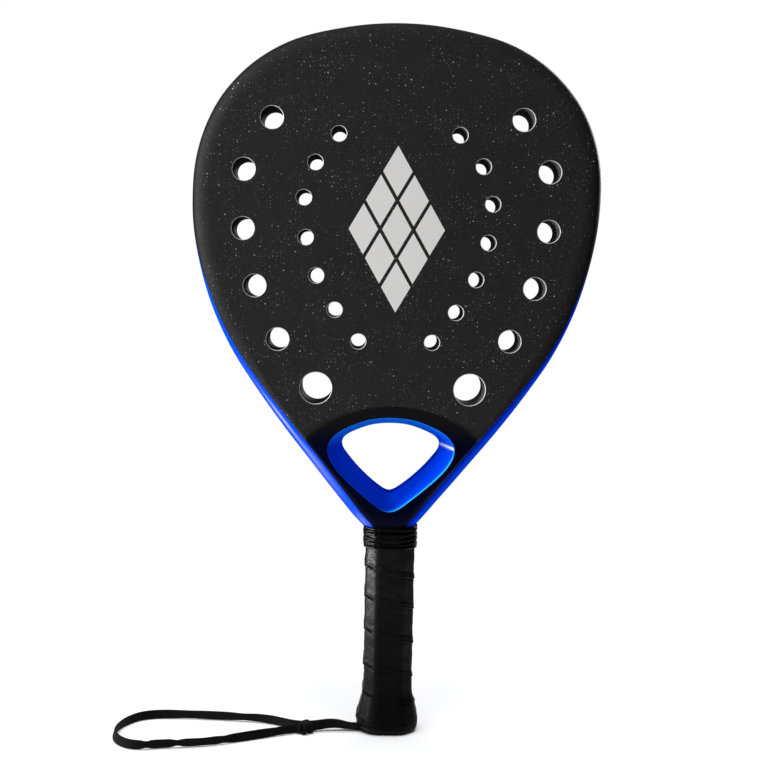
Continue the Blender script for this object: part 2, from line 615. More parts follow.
def knot_webbing():
    """Webbing pulled into a knot: the same yarns seen along object axes."""
    mat, nt, bs = tree("knot_webbing")
    n = N(nt)
    sep = n.node("ShaderNodeSeparateXYZ", in_Vector=n.obj())
    k_ = 2 * math.pi
    a = n.math("SINE", n.math("MULTIPLY", sep.outputs["X"], k_ / 0.00085))
    bq = n.math("ADD", n.math("MULTIPLY", sep.outputs["Z"], 0.8), n.math("MULTIPLY", sep.outputs["Y"], 0.6))
    b = n.math("SINE", n.math("MULTIPLY", bq, k_ / 0.0011))
    weave = n.math("MULTIPLY", n.math("ABSOLUTE", a), n.math("ADD", n.math("MULTIPLY", b, 0.4), 0.6))
    fuzz = n.noise(2400.0, 3.0, 0.6)
    c = n.mix(weave, (0.0008, 0.0008, 0.0009), (0.0042, 0.0042, 0.0045))
    n.set(bs, "Base Color", n.mix(n.math("MULTIPLY", fuzz, 0.35), c, (0.0050, 0.0050, 0.0053)))
    n.set(bs, "Roughness", n.ramp(weave, [(0.0, 0.92), (1.0, 0.66)]))
    bs.inputs["Specular IOR Level"].default_value = 0.08
    bs.inputs["Sheen Weight"].default_value = 0.02
    n.set(bs, "Normal", n.bump(n.math("ADD", weave, n.math("MULTIPLY", fuzz, 0.3)), 0.5, 0.00035))
    return mat


MAT["knot"] = knot_webbing()
knot.data.materials.append(MAT["knot"])


# ---------------------------------------------------------------- outline of the head
OUTLINE = [(119.0, 12.5), (125.0, 12.7), (131.0, 13.9), (137.5, 19.0), (150.6, 30.3), (163.7, 41.2), (176.8, 51.8),
           (189.8, 62.4), (202.8, 72.6), (215.8, 82.3), (228.7, 91.4), (241.6, 99.9), (254.5, 107.1), (267.4, 113.2),
           (280.2, 118.2), (293.0, 122.2), (305.8, 125.4), (318.6, 127.9), (331.3, 129.5), (346.0, 130.1),
           (360.0, 129.7), (373.0, 127.8), (385.0, 124.5), (396.0, 120.0), (407.0, 113.8), (417.0, 106.0),
           (427.0, 95.8), (436.0, 83.2), (444.0, 66.8), (450.3, 43.5), (453.8, 22.0)]
right_half = [(h * 130.0 / 130.1, z) for z, h in OUTLINE]
base = np.array(right_half + [(0.0, 455.0)] + [(-x, z) for x, z in reversed(right_half)])
chord = np.concatenate([[0], np.cumsum(np.linalg.norm(np.diff(base, axis=0), axis=1))])
curve = natural_spline(chord, base)
tt = np.linspace(0, chord[-1], 9001)
fine = curve(tt)
arc = np.concatenate([[0], np.cumsum(np.linalg.norm(np.diff(fine, axis=0), axis=1))])
NB = 461
tb = np.interp(np.linspace(0, arc[-1], NB), arc, tt)
EDGE = curve(tb)
TAN = curve(tb + 0.05) - curve(tb - 0.05)
# the head sits very slightly off the handle's axis: sideways offset against height
LEAN_Z = [119, 128, 140, 155, 175, 205, 235, 265, 295, 325, 355, 385, 415, 455]
LEAN_X = [-0.8, -1.0, -1.5, -1.5, -1.15, -0.8, -0.7, -0.75, -0.7, -0.4, 0.3, 0.95, 1.2, 1.25]
lean_f = natural_spline(LEAN_Z, LEAN_X)
off_axis = lambda z: lean_f(np.clip(z, 119.0, 455.0))
EDGE[:, 0] += off_axis(EDGE[:, 1])
TAN /= np.linalg.norm(TAN, axis=1)[:, None]
INW = np.stack([-TAN[:, 1], TAN[:, 0]], 1)
flip_n = np.einsum("ij,ij->i", INW, np.array([0.0, 300.0]) - EDGE) < 0
INW[flip_n] *= -1
BLUE = [(131.0, 5.0), (140.0, 5.7), (150.0, 6.3), (170.0, 6.9), (190.0, 7.0), (210.0, 6.1), (230.0, 4.7),
        (260.0, 3.2), (290.0, 2.6), (330.0, 2.7), (380.0, 2.9), (460.0, 2.9)]
b_in = np.interp(EDGE[:, 1], [a for a, _ in BLUE], [b for _, b in BLUE])
b_in = np.convolve(np.pad(b_in, 8, mode="edge"), np.ones(17) / 17, mode="valid")
THIN = [(13.4, 128.0), (14.2, 133.0), (15.5, 140.0), (16.5, 150.0), (17.8, 163.0), (18.7, 176.0), (19.0, 187.0)]
thin_f = natural_spline([z for _, z in THIN], [y for y, _ in THIN])


def depth(z):
    z = np.atleast_1d(np.asarray(z, float))
    return np.where(z >= 187.0, 19.0, np.where(z <= 128.0, 13.4, np.minimum(thin_f(np.clip(z, 128.0, 187.0)), 19.0)))


def bezier(a, c, b, n):
    t = np.linspace(0, 1, n)[:, None]
    a, c, b = (np.asarray(q, float)[None, :] for q in (a, c, b))
    return (1 - t) ** 2 * a + 2 * t * (1 - t) * c + t ** 2 * b


def unit(v):
    v = np.asarray(v, float)
    return v / np.linalg.norm(v)


zb = EDGE[:, 1]
ease = lambda t: np.clip(t, 0, 1) ** 2 * (3 - 2 * np.clip(t, 0, 1))
FACE_IN = 8.9 + 3.8 * ease((zb - 205.0) / 55.0)          # where the flat face starts
SIDE = ease((zb - 278.0) / 50.0)                          # 0 paint line on the edge, 1 round on the side
CROWN = np.interp(zb, [128, 140, 170, 207, 247, 290, 337, 384, 424, 455],
                  [0.1, 0.2, 0.6, 0.72, 0.75, 0.95, 1.15, 1.42, 1.45, 1.4])      # how far the side is rounded


def profile(i):
    """(inset, y) over the front half of the rim, from the flat face to the mid plane, cut at the paint line."""
    b, low = float(b_in[i]), float(ease((235.0 - zb[i]) / 40.0))
    w_ = float(CROWN[i])
    A, B, C = np.array([8.0, -19.0]), np.array([b, -15.0 - 1.8 * low]), np.array([w_, -8.0])
    ab, bc = unit(B - A), unit(C - B)
    l_ab, l_bc = np.linalg.norm(B - A), np.linalg.norm(C - B)
    t1, t2 = min(3.2, 0.5 * l_ab), min(2.4, 0.45 * l_ab)
    s1 = bezier((FACE_IN[i], -19.0), A, A + ab * t1, 12)
    s2 = bezier(B - ab * t2, B, B + bc * min(2.6, 0.4 * l_bc), 13)
    s3 = bezier(C - bc * 2.8, C, (0.40 * w_, -4.8), 11)
    dense = np.vstack([s1, s2, s3, [(0.09 * w_, -2.4), (0.0, 0.0)]])
    dense = dense[np.concatenate([[True], np.linalg.norm(np.diff(dense, axis=0), axis=1) > 1e-4])]
    d = np.concatenate([[0], np.cumsum(np.linalg.norm(np.diff(dense, axis=0), axis=1))])
    k0 = int(np.argmin(np.linalg.norm(dense - s2[6], axis=1)))
    cut = d[k0] + (d[-1] - 2.3 - d[k0]) * float(SIDE[i])
    take = lambda a, e, m_: np.stack([np.interp(np.linspace(a, e, m_), d, dense[:, q]) for q in (0, 1)], 1)
    return take(0, cut, 26), take(cut, d[-1], 20)


def place(i, pts):
    xz = EDGE[i][None, :] + INW[i][None, :] * pts[:, :1]
    y = pts[:, 1] * depth(xz[:, 1]) / 19.0
    return np.stack([xz[:, 0], y, xz[:, 1]], 1)


def orient(ob, toward):
    """Flip the faces so that each looks towards the point or direction that toward() gives for its centre."""
    bm = bmesh.new()
    bm.from_mesh(ob.data)
    for f in bm.faces:
        if f.normal.dot(toward(f.calc_center_median())) < 0:
            f.normal_flip()
    bm.to_mesh(ob.data)
    bm.free()
    ob.data.update()


def set_inset(ob, values):
    """Distance in from the outline, in millimetres, that the black paint's material reads."""
    at = ob.data.attributes.new("inset", "FLOAT", "POINT")
    at.data.foreach_set("value", np.asarray(values, dtype=np.float32))


blk_f, blk_r, blu, ins_f = [], [], [], []
for i in range(NB):
    black, rest = profile(i)
    ins_f.append(black[:, 0])
    blk_f.append(place(i, black))
    blk_r.append(place(i, black * np.array([1.0, -1.0])))
    whole = np.vstack([rest, (rest * np.array([1.0, -1.0]))[::-1][1:]])
    blu.append(place(i, whole))
outward = lambda c: Vector((c.x, 0.0, c.z - 300.0)).normalized()
nblk, nblu = len(blk_f[0]), len(blu[0])
for name, rows, sgn in (("frame_bevel_front", blk_f, -1), ("frame_bevel_rear", blk_r, 1)):
    ob = new_mesh(name, np.vstack(rows) * MM, grid_faces(NB, nblk), mat=MAT["black"])
    orient(ob, lambda c, s=sgn: Vector((0, s, 0)))
    set_inset(ob, np.concatenate(ins_f))
frame_blue = new_mesh("frame_blue_flank", np.vstack(blu) * MM, grid_faces(NB, nblu), mat=MAT["blue"])
orient(frame_blue, lambda c: Vector((c.x * 2, 0.0, (c.z - 0.24))).normalized())
# polish along the left flank, thin at half height and wider towards the handle; deeper paint by the
# black bevel on the right
fl_glint, fl_deep = [], []
for i in range(NB):
    z_, left = EDGE[i][1], EDGE[i][0] < 0
    ins_ = profile(i)[1][:, 0]
    row = np.zeros(nblu)
    deep_ = np.zeros(nblu)
    if left:
        amp = 0.10 * float(ease((250.0 - z_) / 40.0)) * float(ease((z_ - 140.0) / 25.0))
        amp += 0.42 * math.exp(-((z_ - 202.0) / 12.0) ** 2) + 0.08 * math.exp(-((z_ - 178.0) / 12.0) ** 2)
        amp += 0.16 * math.exp(-((z_ - 137.0) / 5.0) ** 2)
        wide = 0.75 + 1.0 * float(ease((195.0 - z_) / 25.0))
        at_in = 0.50 * ins_[0]
        row[:20] = amp * np.exp(-((ins_ - at_in) / wide) ** 2)
    else:
        deep_[:20] = 0.85 * ease((ins_ - 0.45 * ins_[0]) / max(0.35 * ins_[0], 0.4)) * float(ease((300.0 - z_) / 40.0))
    fl_glint.append(row)
    fl_deep.append(deep_)
for nm_, val_ in (("glint", fl_glint), ("deep", fl_deep)):
    at_ = frame_blue.data.attributes.new(nm_, "FLOAT", "POINT")
    at_.data.foreach_set("value", np.concatenate(val_).astype(np.float32))
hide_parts("frame_tube")

# ---------------------------------------------------------------- throat opening
RIM = [(0.0, 206.1), (8.0, 205.7), (15.4, 204.4), (21.9, 202.1), (29.0, 199.1), (34.6, 195.7), (38.4, 191.6),
       (40.5, 186.6), (39.5, 181.0), (36.35, 175.1), (29.95, 167.95), (23.4, 161.9), (16.3, 155.75), (8.7, 149.55),
       (4.3, 146.55)]
WAIST = [(0.0, 201.3), (6.8, 201.0), (12.8, 200.0), (18.2, 198.2), (24.2, 195.8), (28.6, 193.4), (31.4, 190.6),
         (31.6, 186.8), (28.6, 182.2), (23.5, 176.1), (19.2, 171.6), (15.2, 167.8), (10.8, 164.0), (6.4, 160.7),
         (3.2, 158.6)]


def closed_ring(half_pts, low):
    return np.array(list(half_pts) + [(0.0, low)] + [(-x, z) for x, z in reversed(half_pts[1:])])


def ring_eval(ctrl, tidx):
    """Smooth closed curve through ctrl, read at control-index positions tidx."""
    m_ = len(ctrl)
    ext = np.vstack([ctrl[-5:], ctrl, ctrl[:6]])
    d = np.concatenate([[0], np.cumsum(np.linalg.norm(np.diff(ext, axis=0), axis=1))])
    f = natural_spline(d, ext)
    return f(np.interp(tidx + 5, np.arange(len(ext)), d))


rim_c, waist_c = closed_ring(RIM, 145.5), closed_ring(WAIST, 157.4)
# smooth the measured points a little so that no control point shows
for _ in range(2):
    rim_c = 0.8 * rim_c + 0.1 * (np.roll(rim_c, 1, 0) + np.roll(rim_c, -1, 0))
    waist_c = 0.8 * waist_c + 0.1 * (np.roll(waist_c, 1, 0) + np.roll(waist_c, -1, 0))
NR = 240
ti = np.linspace(0, len(rim_c), 6001)
rf = ring_eval(rim_c, ti)
ra = np.concatenate([[0], np.cumsum(np.linalg.norm(np.diff(rf, axis=0), axis=1))])
tr = np.interp(np.linspace(0, ra[-1], NR, endpoint=False), ra, ti)
rim_p, waist_p = ring_eval(rim_c, tr), ring_eval(waist_c, tr)
rim_p[:, 0] += off_axis(rim_p[:, 1])
waist_p[:, 0] += off_axis(waist_p[:, 1])
tg = np.roll(rim_p, -1, 0) - np.roll(rim_p, 1, 0)
tg /= np.linalg.norm(tg, axis=1)[:, None]
rim_n = np.stack([-tg[:, 1], tg[:, 0]], 1)
rim_n[np.einsum("ij,ij->i", rim_n, rim_p - np.array([0.0, 182.0])) < 0] *= -1
LIP_GROW = 0.4
lip_xz = rim_p + rim_n * LIP_GROW
rows = []
for i in range(NR):
    R, W, m2 = rim_p[i], waist_p[i], rim_n[i]
    dR = float(depth(R[1])[0])
    P3 = lambda q, y: np.array([q[0], y, q[1]])
    lip = P3(R + m2 * LIP_GROW, -float(depth((R + m2 * LIP_GROW)[1])[0]))
    a = P3(R + m2 * 0.22, -float(depth((R + m2 * 0.22)[1])[0]))
    s = 0.11
    b = P3(R + (W - R) * s, -dR * (1 - s))
    f1 = bezier(a, P3(R - m2 * 0.1, -dR - 0.02), b, 7)
    s2 = 0.925
    e = P3(R + (W - R) * s2, -dR * (1 - s2))
    mid_rows = [b + (e - b) * k for k in np.linspace(0, 1, 7)[1:-1]]
    ctrl = P3(2 * W - (R + (W - R) * s2), 0.0)
    e2 = e * np.array([1, -1, 1])
    f2 = bezier(e, ctrl, e2, 11)
    front = [lip] + list(f1) + mid_rows + list(f2[:6])
    rear = [q * np.array([1, -1, 1]) for q in reversed(front[:-1])]
    rows.append(np.array(front + rear))
nl = len(rows[0])
liner = new_mesh("throat_liner_visible", np.vstack(rows) * MM, grid_faces(NR, nl, closed_u=True), mat=MAT["liner"])
orient(liner, lambda c: Vector((-c.x, -0.03 if c.y > 0 else 0.03, 0.182 - c.z)) if abs(c.y) < 0.0125 else
       Vector((0, c.y, 0)))
# how far the paint thins to azure: along the outer lip everywhere, and along the waist over the top
edge_v, glint_v, deep_v = [], [], []
for i in range(NR):
    right_low = max(0.0, float(rim_n[i] @ unit((0.75, -0.66)))) ** 2
    over = max(0.0, float(rim_n[i][1])) ** 2
    for j in range(nl):
        k_ = min(j, nl - 1 - j)
        lip_ = math.exp(-((k_ - 2.2) / (1.2 + 1.2 * right_low)) ** 2) * (0.05 + 0.16 * max(0.0, float(rim_n[i][1])) +
                                                                         0.85 * right_low)
        mid_ = (0.22 + 0.70 * math.exp(-((k_ - (nl // 2)) / 3.4) ** 2)) * over
        edge_v.append(min(1.0, lip_ + mid_))
        across = 1.0 - min(1.0, k_ / (0.5 * nl))
        left_ = float(ease((6.0 - rim_p[i][0]) / 16.0))
        deep_v.append(min(1.0, left_ * (0.20 + 0.50 * across) + 0.10 + 0.25 * across * (1.0 - left_)
                          ) * float(1.0 - 0.8 * over))
        # a scuffed crease crosses the wall at the right corner
        q_ = rows[i][j]
        f_ = np.clip((q_[0] - 31.0) / 8.0, 0.0, 1.3)
        glint_v.append(math.exp(-((q_[2] - (188.6 - 1.6 * f_)) / 0.75) ** 2) * float(ease((q_[0] - 29.5) / 2.5)) *
                       float(1 - ease((q_[0] - 37.5) / 3.0)) * (1.0 if q_[1] < 1.0 else 0.0))
at_ = liner.data.attributes.new("edge", "FLOAT", "POINT")
at_.data.foreach_set("value", np.array(edge_v, dtype=np.float32))
at_ = liner.data.attributes.new("deep", "FLOAT", "POINT")
at_.data.foreach_set("value", np.array(deep_v, dtype=np.float32))
at_ = liner.data.attributes.new("glint", "FLOAT", "POINT")
at_.data.foreach_set("value", np.array(glint_v, dtype=np.float32))
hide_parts("throat_liner")


# ---------------------------------------------------------------- plates of both faces
def inside(poly, pts):
    poly = np.asarray(poly)
    x, y = pts[:, 0], pts[:, 1]
    res = np.zeros(len(pts), bool)
    j = len(poly) - 1
    for i in range(len(poly)):
        xi, yi, xj, yj = poly[i][0], poly[i][1], poly[j][0], poly[j][1]
        if yi != yj:
            hit = ((yi > y) != (yj > y)) & (x < (xj - xi) * (y - yi) / (yj - yi) + xi)
            res ^= hit
        j = i
    return res


def near(poly, pts, d):
    """True where a point lies closer than d to the polygon's outline."""
    poly = np.asarray(poly)
    nxt = np.roll(poly, -1, 0)
    out = np.zeros(len(pts), bool)
    for a, b in zip(poly, nxt):
        ab = b - a
        t = np.clip(((pts - a) @ ab) / max(ab @ ab, 1e-12), 0, 1)
        q = a + t[:, None] * ab
        out |= np.linalg.norm(pts - q, axis=1) < d
    return out


def plate_mesh(outer, holes, step):
    """Triangles of a flat plate with holes, in (x, z)."""
    outer = np.asarray(outer)
    lo, hi = outer.min(0), outer.max(0)
    gx, gz = np.arange(lo[0], hi[0], step), np.arange(lo[1], hi[1], step * 0.87)
    grid = np.array([(x + (0.5 * step if k % 2 else 0.0), z) for k, z in enumerate(gz) for x in gx])
    keep = inside(outer, grid) & ~near(outer, grid, step * 0.45)
    grid = grid[keep]
    for h in holes:
        h = np.asarray(h)
        box = ((grid > h.min(0) - step).all(1)) & ((grid < h.max(0) + step).all(1))
        bad = np.zeros(len(grid), bool)
        bad[box] = inside(h, grid[box]) | near(h, grid[box], step * 0.35)
        grid = grid[~bad]
    verts, edges = [], []
    for loop in [outer] + [np.asarray(h) for h in holes]:
        s = len(verts)
        verts += [tuple(p) for p in loop]
        edges += [(s + i, s + (i + 1) % len(loop)) for i in range(len(loop))]
    verts += [tuple(p) for p in grid]
    vo, eo, fo, *_ = delaunay_2d_cdt([Vector(v) for v in verts], edges, [], 0, 1e-5, False)
    pts = np.array([tuple(v) for v in vo])
    tris = np.array([tuple(f) for f in fo if len(f) == 3])
    cen = pts[tris].mean(1)
    ok = inside(outer, cen)
    for h in holes:
        ok &= ~inside(h, cen)
    return pts, tris[ok]


ARC_C, ARC_R = np.array([0.0, 134.1]), 79.8
face_edge = EDGE + INW * FACE_IN[:, None]
dist = np.linalg.norm(face_edge - ARC_C, axis=1)
mid_i = NB // 2
i_r = int(np.argmax(dist[:mid_i] > ARC_R))                      # first sample past the arc, right side
i_l = NB - 1 - int(np.argmax(dist[::-1][:mid_i] > ARC_R))


def on_arc(a, b):
    """Where the segment a-b crosses the throat arc."""
    lo, hi = 0.0, 1.0
    for _ in range(50):
        k_ = 0.5 * (lo + hi)
        if np.linalg.norm(a + (b - a) * k_ - ARC_C) < ARC_R:
            lo = k_
        else:
            hi = k_
    return a + (b - a) * lo


cross_r = on_arc(face_edge[i_r - 1], face_edge[i_r])
cross_l = on_arc(face_edge[i_l + 1], face_edge[i_l])
ang_r = math.atan2(cross_r[1] - ARC_C[1], cross_r[0])
ang_l = math.atan2(cross_l[1] - ARC_C[1], cross_l[0])
arc_pts = np.array([ARC_C + ARC_R * np.array([math.cos(a), math.sin(a)]) for a in np.linspace(ang_r, ang_l, 90)])
throat_outer = np.vstack([face_edge[:i_r], arc_pts, face_edge[i_l + 1:]])
head_outer = np.vstack([face_edge[i_r:i_l + 1], arc_pts[::-1]])
tp, tf = plate_mesh(throat_outer, [lip_xz], 3.0)
for sgn, name in ((-1, "throat_plate_front"), (1, "throat_plate_rear")):
    v = np.stack([tp[:, 0], sgn * depth(tp[:, 1]), tp[:, 1]], 1) * MM
    ob = new_mesh(name, v, [tuple(int(q) for q in f) for f in tf], mat=MAT["black"])
    orient(ob, lambda c, s=sgn: Vector((0, s, 0)))
    set_inset(ob, np.full(len(v), 9.0))
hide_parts("throat_bridge")

HOLES = [(7.35, [(-78.9, 392.8), (78.0, 394.2), (-96.1, 360.6), (95.2, 362.2), (-96.3, 323.9), (95.3, 325.3),
                 (-88.5, 288.3), (87.4, 289.4), (-73.7, 255.0), (72.5, 256.0)]),
         (5.05, [(-37.1, 383.6), (38.5, 384.0), (-51.5, 365.7), (53.5, 364.9), (-58.4, 343.8), (59.9, 341.7),
                 (-57.0, 319.0), (57.6, 317.6), (-50.1, 295.3), (50.4, 294.4), (-38.2, 274.1), (38.2, 273.5),
                 (-23.0, 254.4), (23.5, 254.4)]),
         (10.25, [(-49.2, 224.5), (47.9, 225.0)])]
CH = 0.10                     # the drilled edge's chamfer reaches this far past the drill
WALL = -0.30                  # and the wall lies this far inside it
SEG = 72
circles, drilled = [], []
for r, group in HOLES:
    for x, z in group:
        ca_ = np.linspace(0, 2 * math.pi, SEG, endpoint=False)
        circles.append(np.stack([x + (r + CH) * np.cos(ca_), z + (r + CH) * np.sin(ca_)], 1))
        drilled.append((x, z, r))
w6, h6 = 62.8 / 6, 108.2 / 6
lozenges = []
for i in (-1, 0, 1):
    for j in (-1, 0, 1):
        x, z = (i + j) * w6, 324.9 + (i - j) * h6
        g = 0.88 * 1.004
        lozenges.append(np.array([(x + w6 * g, z), (x, z + h6 * g), (x - w6 * g, z), (x, z - h6 * g)]))
for sgn, name, extra in ((-1, "face_front_laminate", lozenges), (1, "face_rear_laminate", [])):
    fp, ff = plate_mesh(head_outer, circles + extra, 7.0)
    v = np.stack([fp[:, 0], np.full(len(fp), sgn * 19.0), fp[:, 1]], 1) * MM
    ob = new_mesh(name, v, [tuple(int(q) for q in f) for f in ff], mat=MAT["face"])
    orient(ob, lambda c, s=sgn: Vector((0, s, 0)))
    set_inset(ob, np.full(len(v), 12.0))
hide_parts("face_front")
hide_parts("face_rear")

# drilled edges and walls of the 26 holes
rim_rings = [(CH, -19.0), (CH - 0.05, -18.99), (CH - 0.16, -18.88), (WALL + 0.05, -18.70), (WALL, -18.45)]
wall_rings = [(WALL, -18.45), (WALL, -17.8), (WALL + 0.12, -17.7), (WALL + 0.12, -12.0), (WALL + 0.12, -6.0),
              (WALL + 0.12, 0.0)]
rv, rfc, wv, wf, n_r, n_w = [], [], [], [], 0, 0
for x, z, r in drilled:
    a_ = np.linspace(0, 2 * math.pi, SEG, endpoint=False)
    for sgn in (1.0, -1.0):
        block = [np.stack([x + (r + d_) * np.cos(a_), np.full(SEG, y_ * sgn), z + (r + d_) * np.sin(a_)], 1)
                 for d_, y_ in rim_rings]
        rv.append(np.vstack(block))
        rfc += grid_faces(len(block), SEG, closed_v=True, base=n_r)
        n_r += len(block) * SEG
    prof = wall_rings + [(d_, -y_) for d_, y_ in reversed(wall_rings[:-1])]
    block = [np.stack([x + (r + d_) * np.cos(a_), np.full(SEG, y_), z + (r + d_) * np.sin(a_)], 1) for d_, y_ in prof]
    wv.append(np.vstack(block))
    wf += grid_faces(len(block), SEG, closed_v=True, base=n_w)
    n_w += len(block) * SEG
centres = np.array([(x, z) for x, z, _ in drilled]) * MM


def to_axis(c):
    k_ = np.argmin(np.hypot(centres[:, 0] - c.x, centres[:, 1] - c.z))
    return Vector((centres[k_, 0] - c.x, 0.0, centres[k_, 1] - c.z))


hole_edges = new_mesh("hole_edges", np.vstack(rv) * MM, rfc, mat=MAT["rim"])
orient(hole_edges, to_axis)
hole_walls = new_mesh("hole_walls", np.vstack(wv) * MM, wf, mat=MAT["foam"], sharp=40)
orient(hole_walls, to_axis)
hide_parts("foam_core")

# ---------------------------------------------------------------- handle
TAB = [(0.0, 20.6, 18.8, 10.2), (4.0, 20.6, 18.8, 10.2), (9.5, 20.1, 18.4, 9.9), (17.5, 18.2, 17.0, 8.6),
       (22.0, 16.85, 16.05, 7.8), (27.0, 16.15, 15.5, 7.5), (36.0, 16.0, 15.4, 7.5), (123.0, 15.9, 15.2, 7.4),
       (140.0, 15.9, 15.2, 7.4)]
tz = np.array([t[0] for t in TAB])
tv = np.array([t[1:] for t in TAB])
zz_ = np.linspace(0, 140, 1401)
vv_ = np.stack([np.interp(zz_, tz, tv[:, k_]) for k_ in range(3)], 1)
ker = np.hanning(63)
ker /= ker.sum()
vv_ = np.stack([np.convolve(np.pad(vv_[:, k_], 31, mode="edge"), ker, mode="valid") for k_ in range(3)], 1)


def handle_at(z):
    return np.array([np.interp(z, zz_, vv_[:, k_]) for k_ in range(3)])


PE, PC = 8, 8                 # points along each edge and round each corner


def round_octagon(hx, hy, c, r):
    """Octagon with rounded corners, from the middle of the front side towards +X; fixed point count."""
    P = np.array([(-hx + c, -hy), (hx - c, -hy), (hx, -hy + c), (hx, hy - c), (hx - c, hy), (-hx + c, hy),
                  (-hx, hy - c), (-hx, -hy + c)])
    out = []
    tn = math.tan(math.radians(22.5))
    for k_ in range(8):
        a, b = P[k_], P[(k_ + 1) % 8]
        u = unit(b - a)
        cut_ = min(r * tn, 0.45 * np.linalg.norm(b - a))
        s0, s1 = a + u * cut_, b - u * cut_
        for t in np.linspace(0, 1, PE, endpoint=False):
            out.append(s0 + (s1 - s0) * t)
        nxt = unit(P[(k_ + 2) % 8] - b)
        out += list(bezier(s1, b, b + nxt * min(r * tn, 0.45 * np.linalg.norm(P[(k_ + 2) % 8] - b)), PC + 1)[:-1])
    return np.roll(np.array(out), -PE // 2, axis=0)


ref_oct = round_octagon(16.0, 15.3, 7.45, 4.0)
NC = len(ref_oct)
peri = np.concatenate([[0], np.cumsum(np.linalg.norm(np.diff(np.vstack([ref_oct, ref_oct[:1]]), axis=0), axis=1))])
UFR = peri[:-1] / peri[-1]
# heights of the overgrip's helical edge each time it passes the middle of the front
SEAM = [(-3.0, 170.0), (-2.0, 147.0), (-1.0, 126.0), (0.0, 104.5), (1.0, 84.9), (2.0, 62.7), (3.0, 40.0), (4.0, 22.0),
        (5.0, 5.0), (6.0, -14.0), (7.0, -34.0)]
seam_w = np.array([a for a, _ in SEAM])
seam_z = np.array([b for _, b in SEAM])
seam_f = natural_spline(seam_w, seam_z)
ws_ = np.linspace(-3, 7, 4001)
zs_ = seam_f(ws_)
z_of = lambda w: np.interp(w, ws_, zs_)
w_of = lambda z: np.interp(-z, -zs_, ws_)
PHI = np.array([0.0, 0.012, 0.03, 0.055, 0.09, 0.14, 0.20, 0.27, 0.34, 0.42, 0.50, 0.58, 0.66, 0.73, 0.78, 0.82, 0.85,
                0.875, 0.90, 0.93, 0.955, 0.972, 0.984, 0.992])
MROW = len(PHI)
ZLO, ZHI = 4.02, 130.6


def step_height(phi):
    """Extra thickness of the overgrip: two layers over the overlap just above each lower edge."""
    up = np.clip((phi - 0.80) / 0.07, 0, 1)
    up = up * up * (3 - 2 * up)
    lip = np.clip((1.0 - phi) / 0.012, 0, 1) ** 0.6
    swell = 0.16 * np.exp(-((phi - 0.965) / 0.020) ** 2) - 0.12 * np.exp(-((phi - 0.90) / 0.022) ** 2)
    dip = -0.16 * np.exp(-(phi / 0.030) ** 2)
    return (0.50 * up + swell) * lip + dip * (phi < 0.5)


# outline and outward direction of the handle's section at every half millimetre of height
OZ = np.arange(0.0, 140.5, 0.5)
CORNER = np.interp(OZ, [0, 12, 24, 40, 80, 118, 140], [14.0, 12.0, 8.0, 5.6, 6.4, 7.6, 7.6])
OCT = np.array([round_octagon(*handle_at(z), c_) for z, c_ in zip(OZ, CORNER)])


def outlines_normals(o):
    t = np.roll(o, -1, 1) - np.roll(o, 1, 1)
    t /= np.linalg.norm(t, axis=2)[:, :, None]
    return np.stack([t[:, :, 1], -t[:, :, 0]], 2)


OCN = outlines_normals(OCT)


def skin(i, z, out):
    """Points of column i at heights z, pushed out by `out` from the handle's surface."""
    z = np.atleast_1d(np.asarray(z, float))
    x = np.clip(z / 0.5, 0, len(OZ) - 1.001)
    k0 = x.astype(int)
    f = (x - k0)[:, None]
    p = OCT[k0, i] * (1 - f) + OCT[k0 + 1, i] * f
    n_ = OCN[k0, i] * (1 - f) + OCN[k0 + 1, i] * f
    q = p + n_ * np.asarray(out, float).reshape(-1, 1)
    return np.stack([q[:, 0], q[:, 1], z], 1)


rows_r = np.array([k_ + p for k_ in range(-3, 7) for p in PHI])
J = len(rows_r)
gv = []
for i in range(NC):
    u = UFR[i]
    z = np.clip(z_of(u + rows_r), ZLO, ZHI)
    wc = w_of(z)
    clipped = (z <= ZLO) | (z >= ZHI)
    ph = np.where(clipped, (wc - u) % 1.0, rows_r - np.floor(rows_r + 1e-9))
    h = step_height(ph)
    fade = np.clip((122.5 - z) / 3.0, 0, 1) * np.clip((z - 4.0) / 2.0, 0, 1)
    ang = 2 * math.pi * u
    wav = 0.10 * np.sin(z * 0.21 + 2.0 * ang) + 0.07 * np.sin(z * 0.47 - 3 * ang + 1.3) + \
        0.05 * np.sin(z * 0.9 + 5 * ang)
    wav += 0.05 * np.sin(17 * ang + ph * 9.0) * np.exp(-((ph - 0.93) / 0.05) ** 2)
    # the tape puckers where each turn is pulled round the left of the handle
    pull = math.exp(-(((u - 0.865 + 0.5) % 1.0 - 0.5) / 0.055) ** 2)
    wav += pull * (0.34 * np.exp(-((ph - 0.955) / 0.016) ** 2) - 0.42 * np.exp(-((ph - 0.905) / 0.018) ** 2) +
                   0.22 * np.exp(-((ph - 0.862) / 0.016) ** 2)) * np.clip((100.0 - abs(z - 66.0)) / 60.0, 0, 1)
    slim = 0.18 + 0.10 * np.clip((68.0 - z) / 14.0, 0, 1) * np.clip((z - 19.0) / 9.0, 0, 1)
    o = (0.9 * h + wav - slim) * fade - 0.75 * np.clip((8.5 - z) / 4.5, 0, 1) ** 2
    gv.append(skin(i, z, o))
